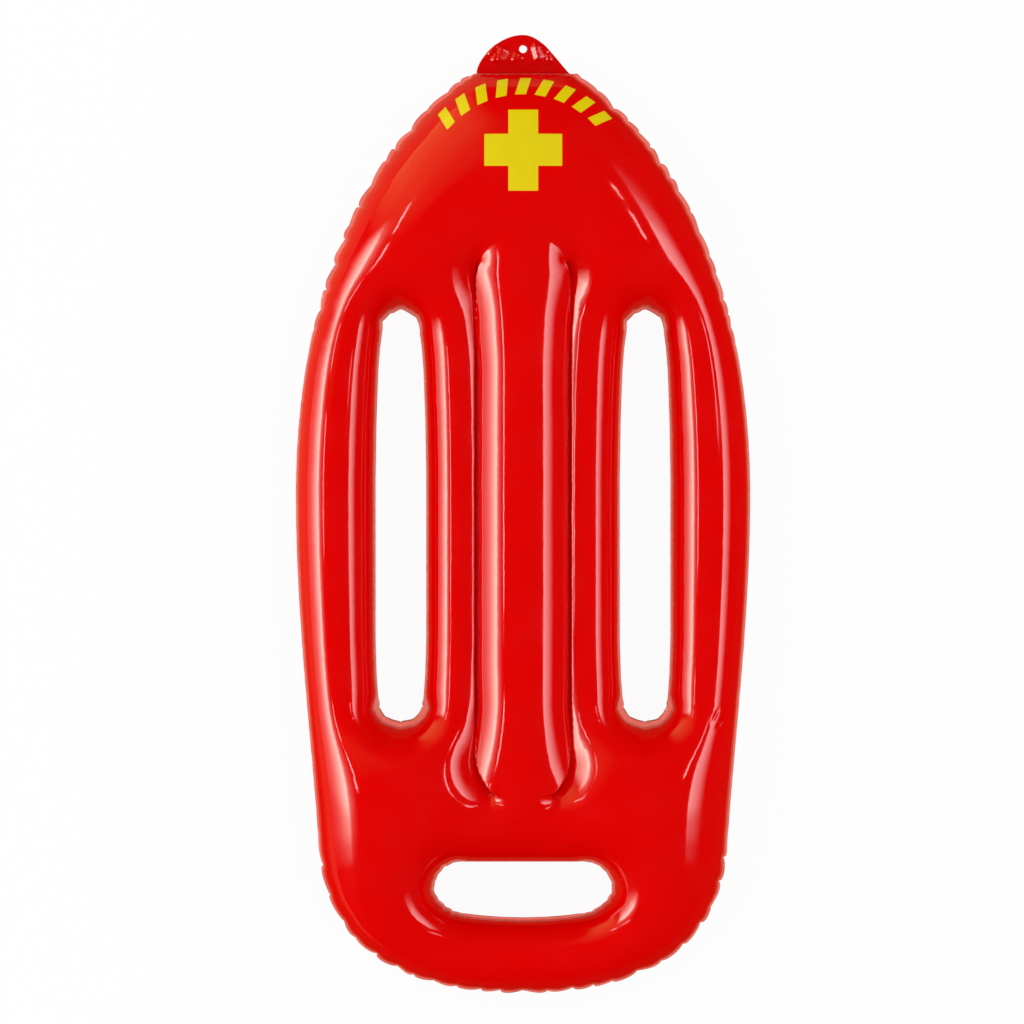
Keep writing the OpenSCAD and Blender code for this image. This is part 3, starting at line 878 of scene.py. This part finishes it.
def weldStrip(name, path, z, values):
    curve = bpy.data.curves.new(name + "Path", "CURVE")
    curve.dimensions = "3D"
    spline = curve.splines.new("POLY")
    spline.points.add(len(path) - 1)
    for point, place in zip(spline.points, path):
        point.co = (place[0] * mm, place[1] * mm, z * mm, 1)
    guide = placed(name + "Path", curve)
    modifier = guide.modifiers.new("weldStrip", "NODES")
    modifier.node_group = weldStripTree
    for socket, value in values.items():
        modifier[weldSockets[socket]] = value
    mesh = modifiedMesh(guide)
    bpy.data.objects.remove(guide)
    mesh.name = name
    return placed(name, mesh)


fused = 2 * film["thickness"]
ribValues = {
    "Strip Width": ribWeld["width"] * mm, "Strip Height": fused * mm,
    "Bar Pitch": ribWeld["barPitch"] * mm, "Finish": ribRed,
    "Bar Size": (ribWeld["barLength"] * mm, ribWeld["barWidth"] * mm, (fused + ribWeld["barProud"]) * mm),
}
for node in ("left_rib_weld", "right_rib_weld"):
    path = ribPath(node, ribWeld["tailHook"], ribWeld["headHook"])
    finished(weldStrip(pieceName(node), path, weldZ, ribValues), node)
print("rib welds made")


# Hang tab: flat film past the head seam, crinkled by handling, with a punched hole and a dotted weld line

def tabLoop():
    low, high = nodeBox("hang_tab")
    root, tip = np.array([high[0], low[1]]), np.array([0, high[1]])
    length = high[1] - low[1]
    waist = root + np.array(tab["rightWaist"]) * length
    right = np.vstack([bezier([root, waist, tip + (tab["rightCrown"], 0), tip]), [tip]])
    left = bezier([root, root + (0, length / 3), tip + (tab["leftCrown"], 0), tip])
    return resampled(np.vstack([right, left[::-1] * (-1, 1)]), tab["step"])


# Each crinkle is a small roof with sharp faces
def creased(flat, foot):
    z = np.zeros(len(flat))
    for x, y, turn, length, height in tab["creases"]:
        along, aside = alongAside(flat, (x, foot + y), turn)
        ridge = height * np.minimum(1, tab["endSlope"] * (1 - 2 * np.abs(along) / length))
        fall = np.where(aside > 0, tab["leftSlope"], tab["rightSlope"]) * np.abs(aside)
        z = np.maximum(z, ridge - fall)
    return z * smoothStep((flat[:, 1] - foot - tab["weldLine"] - tab["flatGap"]) / tab["flatFade"])


holeMount = next(m for m in frame["record"]["mounts"] if m["name"] == "hang_hole")
holeMiddle = np.array(holeMount["pos_m"][:2]) / mm
holeLoop = circle(holeMiddle, holeMount["dims"]["r_mm"])
tabPoints, tabFaces = triangulated(tabLoop(), [holeLoop], tab["step"])
tabFoot = nodeBox("hang_tab")[0][1]
tabSurface = np.column_stack([tabPoints, weldZ + creased(tabPoints, tabFoot)])
hangTab = meshObject("hangTab", tabSurface, tabFaces, [tabFilm])
thickened(hangTab, fused, offset=0)
finished(hangTab, "hang_tab")

tabLine = np.array([(x, tabFoot + tab["weldLine"]) for x in tab["lineEnds"]])
tabDots = weldStrip("tabWeldLine", tabLine, weldZ + film["thickness"], {
    "Strip Width": tab["lineWidth"] * mm, "Strip Height": tab["lineHeight"] * mm,
    "Bar Pitch": tab["dotPitch"] * mm, "Finish": tabFilm, "Bar Size": tuple(d * mm for d in tab["dotSize"]),
})
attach(tabDots, "envelope")
print("hang tab made")


# Valve: a turned soft well and a copied strap take the place of the CAD ones, the rest keep their shapes


# The well is a cone turned round the valve's axis, with the radii of the CAD solid at its mouth and its neck
def turnedWell():
    corners = np.array([v.co for v in frame["nodes"]["valve_well"].data.vertices]) / mm
    away = np.linalg.norm(corners[:, :2] - valveMiddle, axis=1)
    neck = corners[:, 2] > valveHigh[2] - valveWell["endBand"]
    mouth = corners[:, 2] < valveLow[2] + valveWell["endBand"]
    t = np.linspace(0, 1, valveWell["rings"])
    z = valveLow[2] + (valveHigh[2] - valveLow[2]) * t
    bow = valveWell["belly"] * np.sin(math.pi * t)
    outside, inside = (pick(away[mouth]) + (pick(away[neck]) - pick(away[mouth])) * t + bow
                       for pick in (np.max, np.min))
    section = np.column_stack([np.concatenate([outside, inside[::-1]]), np.concatenate([z, z[::-1]])])
    turns = np.arange(valveWell["sides"]) * 2 * math.pi / valveWell["sides"]
    vertices = [(valveMiddle[0] + r * math.cos(a), valveMiddle[1] + r * math.sin(a), h)
                for a in turns for r, h in section]
    quads = [(a, d, c, b) for a, b, c, d in bandQuads(len(turns), len(section))]
    return meshObject("valveWell", vertices, quads, [clearPvc])


def copiedStrap():
    mesh = frame["nodes"]["plug_strap"].data.copy()
    mesh.name = "plugStrap"
    mesh.materials.clear()
    mesh.materials.append(clearPvc)
    shape = bmesh.new()
    shape.from_mesh(mesh)
    bmesh.ops.remove_doubles(shape, verts=shape.verts, dist=plugStrap["same"])
    bmesh.ops.subdivide_edges(shape, edges=shape.edges, cuts=1, use_grid_fill=True)
    bmesh.ops.triangulate(shape, faces=shape.faces)
    shape.to_mesh(mesh)
    shape.free()
    return placed("plugStrap", mesh)


well, strap = turnedWell(), copiedStrap()
flangeHigh, strapHeld = nodeBox("valve_flange")[1][2], plugStrap["held"]
strapLow, strapHigh = nodeBox("plug_strap")
for made, node, start, end, low, high in (
        (well, "valve_well", "envelope", "stem", flangeHigh, valveHigh[2] - valveWell["neckHeld"]),
        (strap, "plug_strap", "stem", "plug", strapHigh[2] - strapHeld, strapLow[2] + strapHeld)):
    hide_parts(node)
    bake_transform(made)
for node in ("valve_flange", "valve_stem", "check_flap", "valve_plug"):
    shown = frame["nodes"][node]
    shown.data.materials.clear()
    shown.data.materials.append(clearPvc)
print("valve finished")


# Studio: a white floor, a tall soft box and a narrow strip on each side, a warm panel past the left shoulder,
# and fill lights that the film doesn't mirror, because the studio's ceiling is dark

# How far a ray is seen by the camera, straight or through the clear pieces, and how far it is a mirrored one
def rayKinds(tree):
    paths = addNode(tree, "ShaderNodeLightPath").outputs
    seen = addNode(tree, "ShaderNodeMath", {0: paths["Is Camera Ray"], 1: paths["Is Transmission Ray"]},
                   operation="MAXIMUM")
    glossy = addNode(tree, "ShaderNodeMath", {0: paths["Is Glossy Ray"], 1: paths["Is Transmission Ray"]},
                     operation="SUBTRACT", use_clamp=True)
    return seen.outputs[0], glossy.outputs[0]


# White to the camera; to the film a painted glow, bright past the left side and head, painted red bounce by the
# board
def floorMaterial():
    values = {"Base Color": linear("#F2F2F2"), "Roughness": 0.8}
    material, tree, shader, place = newMaterial("whiteStudioFloor", values)
    seen, glossy = rayKinds(tree)
    white = addNode(tree, "ShaderNodeMath", {0: seen}, {1: studio["floorGlow"]}, operation="MULTIPLY")
    share = addNode(tree, "ShaderNodeMath", {0: white.outputs[0], 1: glossy}, operation="MAXIMUM")
    side = addNode(tree, "ShaderNodeVectorMath", {0: place}, {1: studio["mirrorSide"]}, operation="DOT_PRODUCT")
    mirrored = addNode(tree, "ShaderNodeMapRange", {"Value": side.outputs["Value"]},
                       {"From Min": studio["mirrorFrom"], "From Max": studio["mirrorTo"],
                        "To Min": studio["mirrorDark"], "To Max": studio["mirrorLight"]})
    # painted red bounce light: close to the board the glow in reflections takes the board's red
    away = addNode(tree, "ShaderNodeAttribute", attribute_name="fromBoard")
    beside = addNode(tree, "ShaderNodeMapRange", {"Value": away.outputs["Fac"]},
                     {"From Min": studio["besideFrom"], "From Max": studio["besideTo"],
                      "To Min": 1, "To Max": 0}).outputs["Result"]
    mirrored = addNode(tree, "ShaderNodeMix", {"Factor": beside, "A": mirrored.outputs["Result"]},
                       {"B": studio["paintedRedBounce"]})
    strength = addNode(tree, "ShaderNodeMix", {"Factor": glossy, "B": mirrored.outputs["Result"]}, {"A": 1})
    # tint of the painted glow: warm light far off, the board's red bounce close by
    paintedGlowTint = addNode(tree, "ShaderNodeMix", {"Factor": beside},
                   {"A": linear("#FFE4AC"), "B": linear("#FF5038")}, data_type="RGBA")
    tint = addNode(tree, "ShaderNodeMix", {"Factor": glossy, "B": paintedGlowTint.outputs["Result"]},
                   {"A": linear("#FFFFFF")}, data_type="RGBA")
    glow = addNode(tree, "ShaderNodeEmission",
                   {"Strength": strength.outputs["Result"], "Color": tint.outputs["Result"]})
    mixed = addNode(tree, "ShaderNodeMixShader",
                    {0: share.outputs[0], 1: shader.outputs[0], 2: glow.outputs[0]})
    tree.links.new(mixed.outputs[0], tree.nodes["Material Output"].inputs["Surface"])
    return material


# The floor has a fine grid round the board, so that it can hold how far from the board each point is
half = studio["floorSize"] / 2 / mm
acrossFloor, alongFloor = (np.concatenate([[-half], np.arange(-reach, reach + 1, studio["floorStep"]), [half]])
                           for reach in studio["floorReach"])
floorPoints = np.array([(x, y) for y in alongFloor for x in acrossFloor])
row = len(acrossFloor)
floorQuads = [(j * row + k, j * row + k + 1, (j + 1) * row + k + 1, (j + 1) * row + k)
              for j in range(len(alongFloor) - 1) for k in range(row - 1)]
floor = meshObject("floor", np.column_stack([floorPoints, np.zeros(len(floorPoints))]),
                   floorQuads, [floorMaterial()])
boardEdge = plan["outer_seam"]["edge"]
edgeTree, within = treeOf(boardEdge), insideLoop(floorPoints, boardEdge)
fromBoard = [0 if inside else awayFrom(edgeTree, p) * mm for p, inside in zip(floorPoints, within)]
floor.data.attributes.new("fromBoard", "FLOAT", "POINT").data.foreach_set("value", fromBoard)
floor.location.z = -studio["floorDrop"] * mm


def brightnessRamp(tree, source, steps):
    ramp = addNode(tree, "ShaderNodeValToRGB", {0: source})
    ramp.color_ramp.interpolation = "EASE"
    while len(ramp.color_ramp.elements) < len(steps):
        ramp.color_ramp.elements.new(0.5)
    for element, (place, value) in zip(ramp.color_ramp.elements, steps):
        element.position = place
        element.color = [value] * 3 + [1]
    return ramp.outputs["Color"]


# A panel that faces the board, from one angle off the vertical to another and between two places along the
# board, with its brightness in steps across and along it
def panelLight(name, turns, reach, away, across, along, heading=0):
    lowTurn, highTurn = turns
    middle, half = math.radians((lowTurn + highTurn) / 2), math.radians(abs(highTurn - lowTurn) / 2)
    lamp = bpy.data.lights.new(name, "AREA")
    lamp.shape = "RECTANGLE"
    lamp.size, lamp.size_y = 2 * away * math.tan(half), reach[1] - reach[0]
    lamp.energy = math.pi * lamp.size * lamp.size_y  # so that a strength of 1 is as bright as white paper
    lamp.use_nodes = True
    tree = lamp.node_tree
    surface = addNode(tree, "ShaderNodeNewGeometry").outputs["Parametric"]
    place = addNode(tree, "ShaderNodeSeparateXYZ", {0: surface})
    brightest = max(v for _, v in across)
    wide = brightnessRamp(tree, place.outputs["X"], [(t, v / brightest) for t, v in across])
    tall = brightnessRamp(tree, place.outputs["Y"], along)
    both = addNode(tree, "ShaderNodeVectorMath", {0: wide, 1: tall}, operation="MULTIPLY")
    emit = tree.nodes["Emission"]
    tree.links.new(both.outputs["Vector"], emit.inputs["Color"])
    emit.inputs["Strength"].default_value = brightest
    made = placed(name, lamp)
    facing = Euler((0, middle, math.radians(heading)))
    made.rotation_euler = facing
    made.location = facing.to_matrix() @ Vector((0, (reach[0] + reach[1]) / 2, away))
    return made


plain, creamy, amber = (1, 1, 1), (1, 0.98, 0.86), (1, 0.85, 0.3)
for name, turns, reach, heading, colour, across, along in (
        ("leftSoftBox", (-92, -38), (-1.5, 1.5), 0, creamy,
         [(0, 0.6), (0.27, 1.5), (0.41, 2.8), (0.48, 4.3), (0.586, 7), (0.655, 9.5), (0.745, 13.5),
          (0.775, 12.5), (0.8, 4.5), (0.867, 1.7), (0.95, 0.5), (1, 0.2)],
         [(0, 0), (0.1, 0.15), (0.23, 0.5), (0.33, 1), (0.78, 1), (1, 0)]),
        ("leftStrip", (-35.2, -33.8), (-0.2, 2.4), 0, plain, [(0, 12), (1, 12)],
         [(0, 0), (0.02, 1), (0.25, 1), (0.26, 0), (0.36, 0), (0.37, 1), (0.57, 1), (0.58, 0)]),
        ("rightSoftBox", (35, 59), (-1.5, 3.2), 0, plain,
         [(0.03, 0), (0.1, 6.5), (0.25, 5), (0.42, 4), (0.62, 2.5), (0.79, 1), (0.96, 0.2), (1, 0)],
         [(0, 0), (0.06, 0.1), (0.15, 0.4), (0.22, 1), (0.5, 1), (0.6, 0.45), (0.7, 0.1), (0.8, 0)]),
        ("rightStrip", (25.3, 26.7), (0.3, 2.4), 0, plain, [(0, 9), (1, 9)],
         [(0, 0), (0.02, 1), (0.28, 1), (0.29, 0), (0.38, 0), (0.39, 1), (0.48, 1), (0.49, 0)]),
        ("warmPanel", (-88, -18), (-1.6, 1.6), -48, amber,
         [(0, 1.5), (0.3, 1.1), (0.55, 0.7), (0.8, 0.25), (1, 0)], [(0, 0), (0.35, 1), (0.65, 1), (1, 0)])):
    shine = panelLight(name, turns, reach, studio["shineAway"], across, along, heading)
    shine.data.color = colour
    shine.visible_diffuse = False  # it is only the shine: the fills and the room light the colours
for name, turns, strength in (("fillFromAbove", (-50, 20), 0.55), ("fillFromLeft", (-95, -50), 1.8),
                              ("fillFromRight", (20, 95), 0.9)):
    away, even = studio["fillAway"], [(0, strength), (1, strength)]
    fill = panelLight(name, turns, (-away, away), away, even, [(0, 1), (1, 1)])
    fill.visible_glossy = False
    fill.visible_camera = False

world = bpy.data.worlds.new("studioWorld")
world.use_nodes = True
tree = world.node_tree
seen, glossy = rayKinds(tree)
level = addNode(tree, "ShaderNodeMapRange", {"Value": seen}, {"To Min": studio["room"], "To Max": 1})
level = addNode(tree, "ShaderNodeMix", {"Factor": glossy, "A": level.outputs["Result"]}, {"B": studio["walls"]})
tree.links.new(level.outputs["Result"], tree.nodes["Background"].inputs["Strength"])
tree.nodes["Background"].inputs["Color"].default_value = linear("#FFFFFF")
scene.world = world
scene.view_settings.view_transform = "Standard"
print("studio made")
